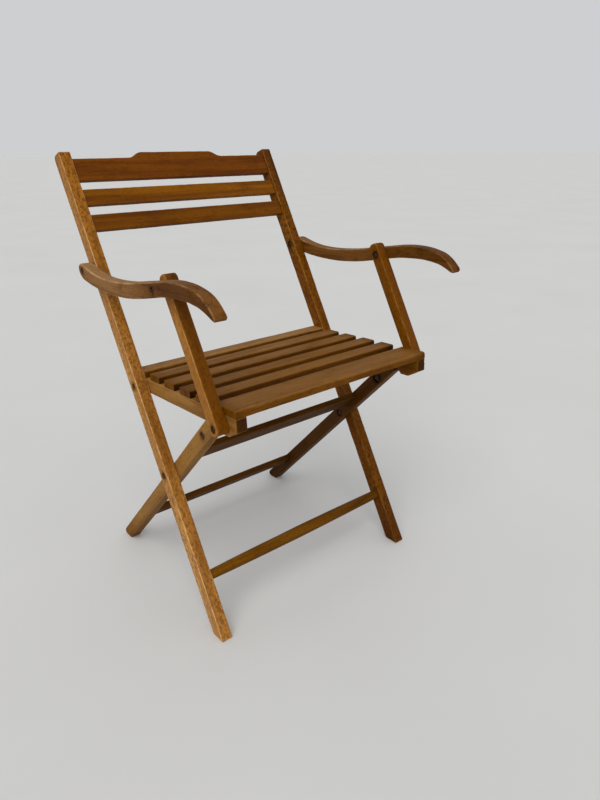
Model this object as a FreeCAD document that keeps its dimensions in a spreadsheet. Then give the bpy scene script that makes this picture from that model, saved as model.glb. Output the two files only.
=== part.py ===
# Slatted folding armchair in varnished beech.
# Millimetres, +Z up, floor at Z = 0, X across the chair, the sitter faces -Y.
# Two long stiles run from the top of the back to the front feet.  A shorter
# pair of rear legs crosses them.  The seat turns on the stiles just behind the
# seat rails' rear ends, and the arms and arm posts form a parallelogram with it.
import FreeCAD, Part
import Sketcher
import math
import os

doc = FreeCAD.newDocument("folding_armchair")
V = FreeCAD.Vector

# ---------------------------------------------------------------- parameters
P = [
    ("lean_deg", 29.48),        # stile lean from vertical
    ("rake_deg", 43.70),        # rear leg lean from vertical, the other way
    ("seat_deg", 2.86),         # seat slope, front edge up
    ("stile_wide", 30.0), ("stile_thick", 23.5), ("stile_front_top", 986.0), ("stile_rear_top", 991.0),
    ("leg_wide", 28.6), ("leg_thick", 24.0),
    ("rail_deep", 28.0), ("rail_thick", 22.0), ("rail_front", 313.0), ("rail_rear", 30.0),
    ("rail_below", 15.0), ("lip_deep", 10.0), ("lip_back", 260.0),
    ("post_wide", 24.0), ("post_thick", 23.5), ("post_low", 13.0), ("post_high", 264.0),
    ("arm_thick", 24.0),
    ("slat_wide", 36.0), ("slat_front_wide", 63.0), ("slat_thick", 14.0), ("slat_long", 465.6),
    ("back_long", 467.0), ("back_thick", 12.0), ("crest_high", 46.0), ("crest_rise", 12.0), ("back_slat_high", 33.0),
    ("rod_across", 19.4), ("rod_middle", 24.4), ("rod_long", 467.0),
    ("board_wide", 48.0), ("board_thick", 12.7), ("bar_wide", 32.0), ("bar_thick", 14.0), ("cross_long", 417.6),
    ("pivot_hole", 6.15), ("fixed_hole", 6.10), ("loose_hole", 6.80),
    ("head_bore", 13.0), ("head_bore_deep", 4.0), ("nut_bore", 15.0), ("nut_bore_deep", 7.0), ("top_bore", 23.0), ("screw_bore_deep", 17.0),
    ("shank_across", 6.0), ("head_across", 11.0), ("head_high", 3.2),
    ("nut_flats", 10.0), ("nut_high", 5.0), ("washer_across", 20.0), ("washer_high", 1.2),
    ("edge_round", 2.2), ("slat_round", 3.2), ("arm_round", 2.6), ("foot_round", 10.0), ("top_round", 9.0),
]
D = dict(P)
sheet = doc.addObject("Spreadsheet::Sheet", "sizes")
for i, (name, value) in enumerate(P):
    sheet.set("A%d" % (i + 1), name)
    sheet.set("B%d" % (i + 1), "%g" % value)
    sheet.setAlias("B%d" % (i + 1), name)
doc.recompute()


def ref(name):
    return "sizes." + name


# ------------------------------------------------------------ frame and layout
LEAN = math.radians(D["lean_deg"])
RAKE = math.radians(D["rake_deg"])
TILT = math.radians(D["seat_deg"])
YSHIFT = -68.1                     # puts the middle of the depth at Y = 0
GAP = 0.7                          # side play between neighbouring layers
X_STILE = 233.5                    # inner face of the stiles
X_RAIL = X_STILE - GAP             # outer face of seat rails and rear legs
X_ARM = X_STILE + D["stile_thick"] + GAP   # inner face of the arms

cA, sA = math.cos(LEAN), math.sin(LEAN)
cB, sB = math.cos(RAKE), math.sin(RAKE)
FOOT = (-134.2 + YSHIFT, 0.0)      # stile centre line meets the floor here


def on_stile(v, u=0.0):
    return (FOOT[0] + u * cA + v * sA, -u * sA + v * cA)


V_CROSS, V_SEAT, V_ARM = 329.0, 510.8, 751.0      # pivots measured along the stile
P_CROSS = on_stile(V_CROSS)
P_SEAT = on_stile(V_SEAT)
P_ARM = on_stile(V_ARM)
POST_SPAN = V_ARM - V_SEAT                          # pivot to pivot on the arm post
P_POST = (P_SEAT[0] - 280.8, P_SEAT[1] + 8.2)       # seat rail to arm post
P_HAND = (P_POST[0] + POST_SPAN * sA, P_POST[1] + POST_SPAN * cA)   # arm post to arm
V_TOPBOLT = 166.0                                   # bolt near the top of the rear leg


def place(y, z, ang, x=0.0):
    """Local x, y lie in the side plane turned by ang, local z runs along +X."""
    c, s = math.cos(ang), math.sin(ang)
    m = FreeCAD.Matrix(0, 0, 1, x,
                       c, -s, 0, y,
                       s, c, 0, z,
                       0, 0, 0, 1)
    return FreeCAD.Placement(m)


def base_plane(body, role):
    for f in body.Origin.OriginFeatures:
        if f.Role == role:
            return f
    raise RuntimeError(role)


def new_body(label, placement):
    body = doc.addObject("PartDesign::Body", label)
    body.Label = label
    body.Placement = placement
    return body


def new_sketch(body, name, z=None, zexpr=None, role="XY_Plane"):
    sk = body.newObject("Sketcher::SketchObject", name)
    sk.AttachmentSupport = [(base_plane(body, role), "")]
    sk.MapMode = "FlatFace"
    if z:
        sk.AttachmentOffset = FreeCAD.Placement(V(0, 0, z), FreeCAD.Rotation())
    if zexpr:
        sk.setExpression("AttachmentOffset.Base.z", zexpr)
    return sk


def pin(sk, geo, pos, x, y, ex=None, ey=None):
    """Fix a point by its two distances from the sketch origin."""
    for kind, val, expr in (("DistanceX", x, ex), ("DistanceY", y, ey)):
        if abs(val) < 1e-9 and expr is None:
            c = sk.addConstraint(Sketcher.Constraint(kind, -1, 1, geo, pos, 0.0))
            continue
        if val >= 0:
            c = sk.addConstraint(Sketcher.Constraint(kind, -1, 1, geo, pos, val))
        else:
            c = sk.addConstraint(Sketcher.Constraint(kind, geo, pos, -1, 1, -val))
        if expr:
            sk.setExpression("Constraints[%d]" % c, expr)


def polygon(sk, verts):
    """verts: (x, y) or (x, y, expr_x, expr_y); expressions give magnitudes."""
    n = len(verts)
    for i in range(n):
        a, b = verts[i], verts[(i + 1) % n]
        sk.addGeometry(Part.LineSegment(V(a[0], a[1], 0), V(b[0], b[1], 0)), False)
    for i in range(n):
        sk.addConstraint(Sketcher.Constraint("Coincident", i, 2, (i + 1) % n, 1))
    for i, v in enumerate(verts):
        ex = v[2] if len(v) > 2 else None
        ey = v[3] if len(v) > 3 else None
        pin(sk, i, 1, v[0], v[1], ex, ey)


def pad(body, sk, length_ref, name="Pad"):
    p = body.newObject("PartDesign::Pad", name)
    p.Profile = sk
    p.setExpression("Length", length_ref)
    sk.Visibility = False
    return p


def bore(body, name, x, y, across, depth_ref=None, far=False, thick=None):
    """Round pocket from the z = 0 face (far=False) or the far face (far=True)."""
    sk = new_sketch(body, name + "_sk", D[thick] if far else None, ref(thick) if far else None)
    g = sk.addGeometry(Part.Circle(V(x, y, 0), V(0, 0, 1), D[across] / 2.0), False)
    pin(sk, g, 3, x, y)
    c = sk.addConstraint(Sketcher.Constraint("Diameter", g, D[across]))
    sk.setExpression("Constraints[%d]" % c, ref(across))
    doc.recompute()
    before = body.Shape.Volume
    p = body.newObject("PartDesign::Pocket", name)
    p.Profile = sk
    p.Reversed = not far
    if depth_ref:
        p.setExpression("Length", ref(depth_ref))
    else:
        p.Type = 1
    doc.recompute()
    if "Invalid" in p.State or not body.Shape.Volume < before - 1.0:
        p.Reversed = not p.Reversed
        doc.recompute()
    if "Invalid" in p.State or not body.Shape.Volume < before - 1.0:
        raise RuntimeError("pocket %s of %s cut nothing %s" % (name, body.Label, p.State))
    return p


def soften(body, name, radius_ref, pick):
    """Round the edges for which pick(edge) is true."""
    names = ["Edge%d" % (i + 1) for i, e in enumerate(body.Shape.Edges) if pick(e)]
    if not names:
        raise RuntimeError("no edges for " + name)
    below = body.Tip
    f = body.newObject("PartDesign::Fillet", name)
    f.Base = (below, names)
    f.Radius = D[radius_ref]
    f.setExpression("Radius", ref(radius_ref))
    doc.recompute()
    if "Invalid" in f.State or not f.Shape.isValid():
        raise RuntimeError("rounding %s failed" % name)
    return f


def local(body, e, t=0.5):
    p = e.valueAt(e.FirstParameter + (e.LastParameter - e.FirstParameter) * t)
    return body.Placement.inverse().multVec(p)


def corner(body, pts, tol=0.6):
    """Edges that run straight through the thickness at the given corners."""
    def f(e):
        a, b = local(body, e, 0.0), local(body, e, 1.0)
        if abs(a.x - b.x) > 0.05 or abs(a.y - b.y) > 0.05:
            return False
        return any(abs(a.x - x) < tol and abs(a.y - y) < tol for x, y in pts)
    return f


def rim(body, longer, thick):
    """Edges lying in the two side faces, holes left sharp."""
    def f(e):
        a, b, m = local(body, e, 0.0), local(body, e, 1.0), local(body, e)
        flat = (abs(a.z) < 0.01 and abs(b.z) < 0.01 and abs(m.z) < 0.01) or \
               (abs(a.z - thick) < 0.01 and abs(b.z - thick) < 0.01 and abs(m.z - thick) < 0.01)
        closed = (a - b).Length < 1e-6
        return flat and e.Length > longer and not closed
    return f


SIDES = (("left", -1), ("right", 1))


def x_start(side, inner, thick):
    """Local z = 0 of a piece whose inner face is at |X| = inner."""
    return inner if side > 0 else -(inner + thick)


def x_start_outer(side, outer, thick):
    return outer - thick if side > 0 else -outer


EXPORT = []

# --------------------------------------------------------------- long stiles
w = D["stile_wide"] / 2.0
for nm, sd in SIDES:
    b = new_body(nm + "_stile", place(FOOT[0], FOOT[1], -LEAN, x_start(sd, X_STILE, D["stile_thick"])))
    sk = new_sketch(b, nm + "_stile_outline")
    k = w * math.tan(LEAN)
    half = ref("stile_wide") + " / 2"
    rise = ref("stile_wide") + " / 2 * tan(" + ref("lean_deg") + ")"
    polygon(sk, [(-w, -k, half, rise), (w, k, half, rise),
                 (w, D["stile_rear_top"], half, ref("stile_rear_top")),
                 (-w, D["stile_front_top"], half, ref("stile_front_top"))])
    pad(b, sk, ref("stile_thick"))
    doc.recompute()
    soften(b, nm + "_stile_top", "top_round", corner(b, [(w, D["stile_rear_top"])]))
    soften(b, nm + "_stile_foot", "edge_round", corner(b, [(-w, -k), (w, k), (-w, D["stile_front_top"])]))
    soften(b, nm + "_stile_edges", "edge_round", rim(b, 3.0, D["stile_thick"]))
    far = sd > 0
    for tag, v in (("cross", V_CROSS), ("seat", V_SEAT)):
        bore(b, "%s_%s_hole" % (nm, tag), 0, v, "fixed_hole")
        bore(b, "%s_%s_bore" % (nm, tag), 0, v, "head_bore", "head_bore_deep", far, "stile_thick")
    bore(b, nm + "_armpivot_hole", 0, V_ARM, "fixed_hole")
    bore(b, nm + "_armpivot_bore", 0, V_ARM, "nut_bore", "nut_bore_deep", not far, "stile_thick")
    EXPORT.append(b)

# ---------------------------------------------------- crest rail, back slats
def front_place(v, u_rear):
    y, z = on_stile(v, u_rear)
    m = FreeCAD.Matrix(1, 0, 0, 0,
                       0, sA, -cA, y,
                       0, cA, sA, z,
                       0, 0, 0, 1)
    return FreeCAD.Placement(m)


V_CREST, V_SLAT2, V_SLAT3 = 927.0, 876.0, 823.5
b = new_body("crest_rail", front_place(V_CREST, 0.0))
sk = new_sketch(b, "crest_outline")
h, r = D["crest_high"], D["crest_rise"]
L = D["back_long"] / 2.0
half = ref("back_long") + " / 2"
x0, x1 = 116.0, 80.0
R = ((x0 - x1) ** 2 + r * r) / (4.0 * r)
xm, ym = (x0 + x1) / 2.0, h + r / 2.0


def arc3(a, m, c):
    return Part.Arc(V(a[0], a[1], 0), V(m[0], m[1], 0), V(c[0], c[1], 0))


def mid_on(cx, cy, a, c):
    t = (math.atan2(a[1] - cy, a[0] - cx) + math.atan2(c[1] - cy, c[0] - cx)) / 2.0
    return (cx + R * math.cos(t), cy + R * math.sin(t))


pts = [(-L, 0), (L, 0), (L, h), (x0, h)]
geo = [Part.LineSegment(V(-L, 0, 0), V(L, 0, 0)), Part.LineSegment(V(L, 0, 0), V(L, h, 0)),
       Part.LineSegment(V(L, h, 0), V(x0, h, 0))]
a, m_, c_ = (x0, h), (xm, ym), (x1, h + r)
geo.append(arc3(a, mid_on(x0, h + R, a, m_), m_))
geo.append(arc3(m_, mid_on(x1, h + r - R, m_, c_), c_))
geo.append(Part.LineSegment(V(x1, h + r, 0), V(-x1, h + r, 0)))
geo.append(arc3((-x1, h + r), mid_on(-x1, h + r - R, (-x1, h + r), (-xm, ym)), (-xm, ym)))
geo.append(arc3((-xm, ym), (2 * -xm - mid_on(-x1, h + r - R, (-x1, h + r), (-xm, ym))[0],
                            2 * ym - mid_on(-x1, h + r - R, (-x1, h + r), (-xm, ym))[1]), (-x0, h)))
geo.append(Part.LineSegment(V(-x0, h, 0), V(-L, h, 0)))
geo.append(Part.LineSegment(V(-L, h, 0), V(-L, 0, 0)))
for g in geo:
    sk.addGeometry(g, False)
pin(sk, 0, 1, -L, 0, half)
pin(sk, 0, 2, L, 0, half)
pin(sk, 2, 1, L, h, half, ref("crest_high"))
pin(sk, 9, 1, -L, h, half, ref("crest_high"))
pad(b, sk, ref("back_thick"))
doc.recompute()
soften(b, "crest_edges", "edge_round", lambda e, b=b: e.Length > 8.0 and abs(local(b, e, 0.5).x) < L - 1.0
       and abs(local(b, e, 0.0).z - local(b, e, 1.0).z) < 0.01)
EXPORT.append(b)
for nm, v in (("back_slat_upper", V_SLAT2), ("back_slat_lower", V_SLAT3)):
    b = new_body(nm, front_place(v, 0.0))
    sk = new_sketch(b, nm + "_outline")
    hh = D["back_slat_high"]
    polygon(sk, [(-L, 0, half), (L, 0, half), (L, hh, half, ref("back_slat_high")), (-L, hh, half, ref("back_slat_high"))])
    pad(b, sk, ref("back_thick"))
    doc.recompute()
    soften(b, nm + "_edges", "edge_round", lambda e, b=b: e.Length > 100.0)
    EXPORT.append(b)

# --------------------------------------------------- round front stretcher
# turned, fuller in the middle than at its ends
y, z = on_stile(117.0)
b = new_body("front_stretcher", place(y, z, 0.0, 0.0))
sk = new_sketch(b, "front_stretcher_half", role="XZ_Plane")
re_, rm_, hl = D["rod_across"] / 2.0, D["rod_middle"] / 2.0, D["rod_long"] / 2.0
sk.addGeometry(Part.LineSegment(V(0, -hl, 0), V(re_, -hl, 0)), False)
sk.addGeometry(Part.Arc(V(re_, -hl, 0), V(rm_, 0, 0), V(re_, hl, 0)), False)
sk.addGeometry(Part.LineSegment(V(re_, hl, 0), V(0, hl, 0)), False)
sk.addGeometry(Part.LineSegment(V(0, hl, 0), V(0, -hl, 0)), False)
ehl, ere = ref("rod_long") + " / 2", ref("rod_across") + " / 2"
pin(sk, 0, 1, 0, -hl, None, ehl)
pin(sk, 0, 2, re_, -hl, ere, ehl)
pin(sk, 2, 1, re_, hl, ere, ehl)
pin(sk, 3, 1, 0, hl, None, ehl)
rv = b.newObject("PartDesign::Revolution", "front_stretcher_turned")
rv.Profile = sk
rv.ReferenceAxis = (sk, ["V_Axis"])
rv.Angle = 360.0
doc.recompute()
EXPORT.append(b)

# ----------------------------------------------------------------- rear legs
w = D["leg_wide"] / 2.0
ZC = P_CROSS[1]
foot = lambda u: -(ZC + u * sB) / cB


def leg_top(u, drop):
    """Where a line along the leg meets the rail's underside, less a little air."""
    # underside: point on it is P_SEAT + (-rail_below) along the rail's normal
    nY, nZ = math.sin(TILT), math.cos(TILT)
    d0 = P_SEAT[0] * nY + P_SEAT[1] * nZ - D["rail_below"] - drop
    y0_, z0_ = P_CROSS[0] + u * cB, ZC + u * sB
    return (d0 - (y0_ * nY + z0_ * nZ)) / (-sB * nY + cB * nZ)


for nm, sd in SIDES:
    b = new_body(nm + "_rear_leg", place(P_CROSS[0], P_CROSS[1], RAKE, x_start_outer(sd, X_RAIL, D["leg_thick"])))
    sk = new_sketch(b, nm + "_rear_leg_outline")
    half = ref("leg_wide") + " / 2"
    verts = [(-w, foot(-w), half), (w, foot(w), half), (w, leg_top(w, 0.35), half), (-w + 9.0, leg_top(-w + 9.0, 0.35)),
             (-w, leg_top(-w + 9.0, 0.35) - 2.0, half)]
    polygon(sk, verts)
    pad(b, sk, ref("leg_thick"))
    doc.recompute()
    soften(b, nm + "_rear_leg_foot", "foot_round", corner(b, [verts[1][:2]]))
    soften(b, nm + "_rear_leg_heel", "edge_round", corner(b, [verts[0][:2]]))
    soften(b, nm + "_rear_leg_edges", "edge_round", rim(b, 12.0, D["leg_thick"]))
    far = sd > 0
    bore(b, nm + "_leg_cross_hole", 0, 0, "pivot_hole")
    bore(b, nm + "_leg_cross_bore", 0, 0, "nut_bore", "nut_bore_deep", not far, "leg_thick")
    bore(b, nm + "_leg_top_hole", 0, V_TOPBOLT, "fixed_hole")
    bore(b, nm + "_leg_top_bore", 0, V_TOPBOLT, "head_bore", "head_bore_deep", far, "leg_thick")
    bore(b, nm + "_leg_top_nutbore", 0, V_TOPBOLT, "top_bore", "nut_bore_deep", not far, "leg_thick")
    EXPORT.append(b)

# two crosspieces between the rear legs, flush with their upper edges
for nm, mid, wr, tr in (("upper_leg_stretcher", 53.6, "board_wide", "board_thick"),
                        ("lower_leg_stretcher", -289.5, "bar_wide", "bar_thick")):
    u0 = D["leg_wide"] / 2.0 - D[tr] / 2.0 - 0.4
    y = P_CROSS[0] + u0 * cB - mid * sB
    z = ZC + u0 * sB + mid * cB
    b = new_body(nm, place(y, z, RAKE, -D["cross_long"] / 2.0))
    sk = new_sketch(b, nm + "_section")
    a, c_ = D[tr] / 2.0, D[wr] / 2.0
    ea, ec = ref(tr) + " / 2", ref(wr) + " / 2"
    polygon(sk, [(-a, -c_, ea, ec), (a, -c_, ea, ec), (a, c_, ea, ec), (-a, c_, ea, ec)])
    pad(b, sk, ref("cross_long"))
    doc.recompute()
    soften(b, nm + "_edges", "edge_round", lambda e, b=b: e.Length > 100.0)
    EXPORT.append(b)

# ------------------------------------------------------------- seat rails
def in_rail(pt):
    dy, dz = pt[0] - P_SEAT[0], pt[1] - P_SEAT[1]
    c, s = math.cos(TILT), math.sin(TILT)
    return (dy * c - dz * s, dy * s + dz * c)


low = -D["rail_below"]
top = low + D["rail_deep"]
post_u, post_v = in_rail(P_POST)
for nm, sd in SIDES:
    b = new_body(nm + "_seat_rail", place(P_SEAT[0], P_SEAT[1], -TILT, x_start_outer(sd, X_RAIL, D["rail_thick"])))
    sk = new_sketch(b, nm + "_seat_rail_outline")
    eb = ref("rail_below")
    et = ref("rail_deep") + " - " + eb
    el = eb + " + " + ref("lip_deep")
    verts = [(12.0, low, None, eb), (26.0, low + 10.0), (D["rail_rear"], low + 18.0, ref("rail_rear")),
             (D["rail_rear"], top, ref("rail_rear"), et),
             (-D["rail_front"], top, ref("rail_front"), et), (-D["rail_front"], -11.0, ref("rail_front")),
             (-303.0, -15.5), (-287.0, low - D["lip_deep"], None, el), (-268.0, low - D["lip_deep"], None, el),
             (-262.5, low - 5.0), (-D["lip_back"], low, ref("lip_back"), eb)]
    polygon(sk, verts)
    pad(b, sk, ref("rail_thick"))
    doc.recompute()
    soften(b, nm + "_seat_rail_edges", "edge_round",
           lambda e, b=b: rim(b, 60.0, D["rail_thick"])(e) and abs(local(b, e).y - low) < 0.1)
    far = sd > 0
    bore(b, nm + "_rail_seat_hole", 0, 0, "pivot_hole")
    bore(b, nm + "_rail_seat_bore", 0, 0, "nut_bore", "nut_bore_deep", not far, "rail_thick")
    bore(b, nm + "_rail_post_hole", post_u, post_v, "fixed_hole", "screw_bore_deep", far, "rail_thick")
    EXPORT.append(b)

# ------------------------------------------------------------- seat slats
fronts = [(-5.8, "slat_wide"), (-60.8, "slat_wide"), (-116.8, "slat_wide"), (-172.8, "slat_wide"),
          (-228.0, "slat_wide"), (-313.0, "slat_front_wide")]
for i, (u, wr) in enumerate(fronts):
    nm = "seat_slat_%d" % (i + 1)
    b = new_body(nm, place(P_SEAT[0], P_SEAT[1], -TILT, -D["slat_long"] / 2.0))
    sk = new_sketch(b, nm + "_section")
    t1 = top + D["slat_thick"]
    et = ref("rail_deep") + " - " + ref("rail_below")
    e1 = et + " + " + ref("slat_thick")
    polygon(sk, [(u, top, None, et), (u + D[wr], top, None, et), (u + D[wr], t1, None, e1), (u, t1, None, e1)])
    pad(b, sk, ref("slat_long"))
    doc.recompute()
    soften(b, nm + "_edges", "slat_round", lambda e, b=b: e.Length > 100.0 and abs(local(b, e).y - t1) < 0.1)
    EXPORT.append(b)

# ------------------------------------------------------------- arm posts
w = D["post_wide"] / 2.0
for nm, sd in SIDES:
    b = new_body(nm + "_arm_post", place(P_POST[0], P_POST[1], -LEAN, x_start(sd, X_STILE, D["post_thick"])))
    sk = new_sketch(b, nm + "_arm_post_outline")
    half = ref("post_wide") + " / 2"
    verts = [(-w, -D["post_low"], half, ref("post_low")), (w, -D["post_low"], half, ref("post_low")),
             (w, D["post_high"], half, ref("post_high")), (-w, D["post_high"], half, ref("post_high"))]
    polygon(sk, verts)
    pad(b, sk, ref("post_thick"))
    doc.recompute()
    soften(b, nm + "_arm_post_ends", "foot_round", corner(b, [v[:2] for v in verts]))
    soften(b, nm + "_arm_post_edges", "edge_round", rim(b, 2.0, D["post_thick"]))
    far = sd > 0
    bore(b, nm + "_post_low_hole", 0, 0, "pivot_hole")
    bore(b, nm + "_post_low_bore", 0, 0, "head_bore", "head_bore_deep", far, "post_thick")
    bore(b, nm + "_post_high_hole", 0, POST_SPAN, "loose_hole")
    bore(b, nm + "_post_high_bore", 0, POST_SPAN, "nut_bore", "nut_bore_deep", not far, "post_thick")
    EXPORT.append(b)

# ------------------------------------------------------------- curved arms
arm_ang = math.atan2(P_HAND[1] - P_ARM[1], P_HAND[0] - P_ARM[0]) + math.pi
ARM_SPAN = math.hypot(P_HAND[0] - P_ARM[0], P_HAND[1] - P_ARM[1])
outline = [(3, -16.4), (-8, -11.4), (-14.8, -3.6), (-16, 4), (-12.5, 10.6), (-5, 13.6), (5, 12.4), (20, 8.2),
           (42, 3), (65, -0.6), (85, -2.3), (110, -3), (140, -2.4), (170, -0.4), (200, 2.6), (230, 7), (260, 11.4),
           (285, 15.1), (310, 18.8), (335, 21.6), (357, 22.6), (375, 22.2), (390, 20.9), (403, 18.8), (415, 16.2),
           (427, 12.4), (439, 6), (448, -0.9), (455, -7.7), (459.6, -12.9), (461.2, -16.6), (458.8, -20.4),
           (453.6, -19.4), (446, -15.6), (434, -10.6), (420, -6.5), (405, -4.1), (390, -2.6), (372, -2.1),
           (350, -2.9), (330, -4.2), (308, -6.9), (285, -10.9), (260, -15.4), (230, -20.4), (200, -24.6),
           (168, -27.4), (140, -28.8), (105, -28.5), (70, -26.5), (40, -23.2), (18, -19.6)]
for nm, sd in SIDES:
    b = new_body(nm + "_arm", place(P_ARM[0], P_ARM[1], arm_ang, x_start(sd, X_ARM, D["arm_thick"])))
    sk = new_sketch(b, nm + "_arm_outline")
    turn = outline.index((461.2, -16.6))
    for run in (outline[:turn + 1], outline[turn:] + outline[:1]):
        curve = Part.BSplineCurve()
        curve.interpolate([V(-s, hh, 0) for s, hh in run])
        sk.addGeometry(curve, False)
    pad(b, sk, ref("arm_thick"))
    doc.recompute()
    far = sd > 0
    bore(b, nm + "_arm_rear_hole", 0, 0, "pivot_hole")
    bore(b, nm + "_arm_rear_bore", 0, 0, "head_bore", "head_bore_deep", far, "arm_thick")
    bore(b, nm + "_arm_front_hole", -ARM_SPAN, 0, "fixed_hole")
    bore(b, nm + "_arm_front_bore", -ARM_SPAN, 0, "head_bore", "head_bore_deep", far, "arm_thick")
    EXPORT.append(b)

# ------------------------------------------------------------- hardware
def across(sd, x, y, z):
    """Local y runs inward (toward X = 0) from |X| = x."""
    s = -sd
    m = FreeCAD.Matrix(0, s, 0, sd * x,
                       1, 0, 0, y,
                       0, 0, s, z,
                       0, 0, 0, 1)
    # columns: local x -> +Y, local y -> inward, local z completes the hand
    ex, ey = V(0, 1, 0), V(s, 0, 0)
    ez = ex.cross(ey)
    m = FreeCAD.Matrix(ex.x, ey.x, ez.x, sd * x, ex.y, ey.y, ez.y, y, ex.z, ey.z, ez.z, z, 0, 0, 0, 1)
    return FreeCAD.Placement(m)


def bolt(name, sd, x_seat, x_end, pt):
    """Domed head outboard of |X| = x_seat, shank inward to |X| = x_end."""
    b = new_body(name, across(sd, x_seat, pt[0], pt[1]))
    sk = new_sketch(b, name + "_half")
    rs, rh, hh, ln = D["shank_across"] / 2.0, D["head_across"] / 2.0, D["head_high"], x_seat - x_end
    polygon(sk, [(0, -hh, None, ref("head_high")), (rh * 0.45, -hh * 0.93), (rh * 0.8, -hh * 0.66), (rh, -hh * 0.25, ref("head_across") + " / 2"),
                 (rh, 0, ref("head_across") + " / 2"), (rs, 0, ref("shank_across") + " / 2"),
                 (rs, ln, ref("shank_across") + " / 2"), (0, ln)])
    rv = b.newObject("PartDesign::Revolution", name + "_turned")
    rv.Profile = sk
    rv.ReferenceAxis = (sk, ["V_Axis"])
    rv.Angle = 360.0
    doc.recompute()
    return b


def ring_prism(name, sd, x_out, pt, outer, hole, high_ref, hexagon):
    """Nut or washer whose outboard face is at |X| = x_out."""
    s = -sd
    ex = V(0, 1, 0)
    ez = V(s, 0, 0)
    ey = ez.cross(ex)
    m = FreeCAD.Matrix(ex.x, ey.x, ez.x, sd * x_out, ex.y, ey.y, ez.y, pt[0], ex.z, ey.z, ez.z, pt[1], 0, 0, 0, 1)
    b = new_body(name, FreeCAD.Placement(m))
    sk = new_sketch(b, name + "_ring")
    if hexagon:
        rr = outer / math.sqrt(3.0)
        polygon(sk, [(rr * math.cos(math.radians(60 * i + 12)), rr * math.sin(math.radians(60 * i + 12))) for i in range(6)])
    else:
        g = sk.addGeometry(Part.Circle(V(0, 0, 0), V(0, 0, 1), outer / 2.0), False)
        sk.addConstraint(Sketcher.Constraint("Coincident", g, 3, -1, 1))
        sk.addConstraint(Sketcher.Constraint("Diameter", g, outer))
    g = sk.addGeometry(Part.Circle(V(0, 0, 0), V(0, 0, 1), hole / 2.0), False)
    sk.addConstraint(Sketcher.Constraint("Coincident", g, 3, -1, 1))
    c = sk.addConstraint(Sketcher.Constraint("Diameter", g, hole))
    sk.setExpression("Constraints[%d]" % c, ref("shank_across"))
    pad(b, sk, ref(high_ref))
    doc.recompute()
    return b


def group(label, members):
    c = doc.addObject("Part::Compound", label)
    c.Label = label
    c.Links = members
    doc.recompute()
    EXPORT.append(c)


X_OUT_STILE = X_STILE + D["stile_thick"]
X_OUT_ARM = X_ARM + D["arm_thick"]
X_IN_LEG = X_RAIL - D["leg_thick"]
X_IN_RAIL = X_RAIL - D["rail_thick"]
hd, nd, hn = D["head_bore_deep"], D["nut_bore_deep"], D["nut_high"]
AIR = 0.3
P_TOP = (P_CROSS[0] - V_TOPBOLT * sB, ZC + V_TOPBOLT * cB)
#        name          head seat            nut's outboard face       point
SETS = [("leg_pivot", X_OUT_STILE - hd, X_IN_LEG + nd - AIR, P_CROSS),
        ("seat_pivot", X_OUT_STILE - hd, X_IN_RAIL + nd - AIR, P_SEAT),
        ("arm_pivot", X_OUT_ARM - hd + AIR, X_STILE + nd, P_ARM),
        ]
for nm, xs, xn, pt in SETS:
    group(nm + "_bolts", [bolt("%s_bolt_%s" % (nm, s), sd, xs, xn - hn - 1.0, pt) for s, sd in SIDES])
    group(nm + "_nuts", [ring_prism("%s_nut_%s" % (nm, s), sd, xn, pt, D["nut_flats"], D["shank_across"], "nut_high", True)
                         for s, sd in SIDES])
group("post_pivot_screws", [bolt("post_pivot_screw_" + s, sd, X_OUT_STILE - hd + AIR, X_RAIL - D["screw_bore_deep"] + 1.0, P_POST)
                            for s, sd in SIDES])
for s, sd in SIDES:
    xs, xn = X_OUT_ARM - hd, X_STILE + nd - AIR
    b = bolt(s + "_hand_bolt", sd, xs, xn - hn - 0.9, P_HAND)
    EXPORT.append(b)
    b = ring_prism(s + "_hand_nut", sd, xn, P_HAND, D["nut_flats"], D["shank_across"], "nut_high", True)
    EXPORT.append(b)
xs, xn = X_RAIL - hd, X_IN_LEG + nd
wh = D["washer_high"]
group("leg_top_bolts", [bolt("leg_top_bolt_" + s, sd, xs, xn - wh - hn - 0.6, P_TOP) for s, sd in SIDES])
group("leg_top_washers", [ring_prism("leg_top_washer_" + s, sd, xn, P_TOP, D["washer_across"], D["shank_across"], "washer_high", False)
                          for s, sd in SIDES])
group("leg_top_nuts", [ring_prism("leg_top_nut_" + s, sd, xn - wh, P_TOP, D["nut_flats"], D["shank_across"], "nut_high", True)
                       for s, sd in SIDES])

# ------------------------------------------------------------- check, write
doc.recompute()
for o in doc.Objects:
    bad = [s for s in o.State if s in ("Invalid", "Error")]
    if bad:
        raise RuntimeError("%s is %s" % (o.Label, bad))
os.makedirs("parts", exist_ok=True)
for old in os.listdir("parts"):
    if old.endswith(".step"):
        os.remove(os.path.join("parts", old))
box = FreeCAD.BoundBox()
for o in EXPORT:
    shp = o.Shape
    if not shp.isValid() or not shp.Solids:
        raise RuntimeError("bad shape " + o.Label)
    box.add(shp.BoundBox)
    shp.exportStep("parts/%s.step" % o.Label)
print("nodes", len(EXPORT))
print("box X %.2f %.2f  Y %.2f %.2f  Z %.2f %.2f" % (box.XMin, box.XMax, box.YMin, box.YMax, box.ZMin, box.ZMax))
for nm, p_ in (("cross", P_CROSS), ("seat", P_SEAT), ("arm", P_ARM), ("post", P_POST), ("hand", P_HAND), ("top", P_TOP)):
    print(nm, "%.4f %.4f" % p_)
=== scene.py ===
import math

import bmesh
import bpy
import numpy as np
from mathutils import Matrix, Vector, noise
from mathutils.geometry import delaunay_2d_cdt


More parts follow.
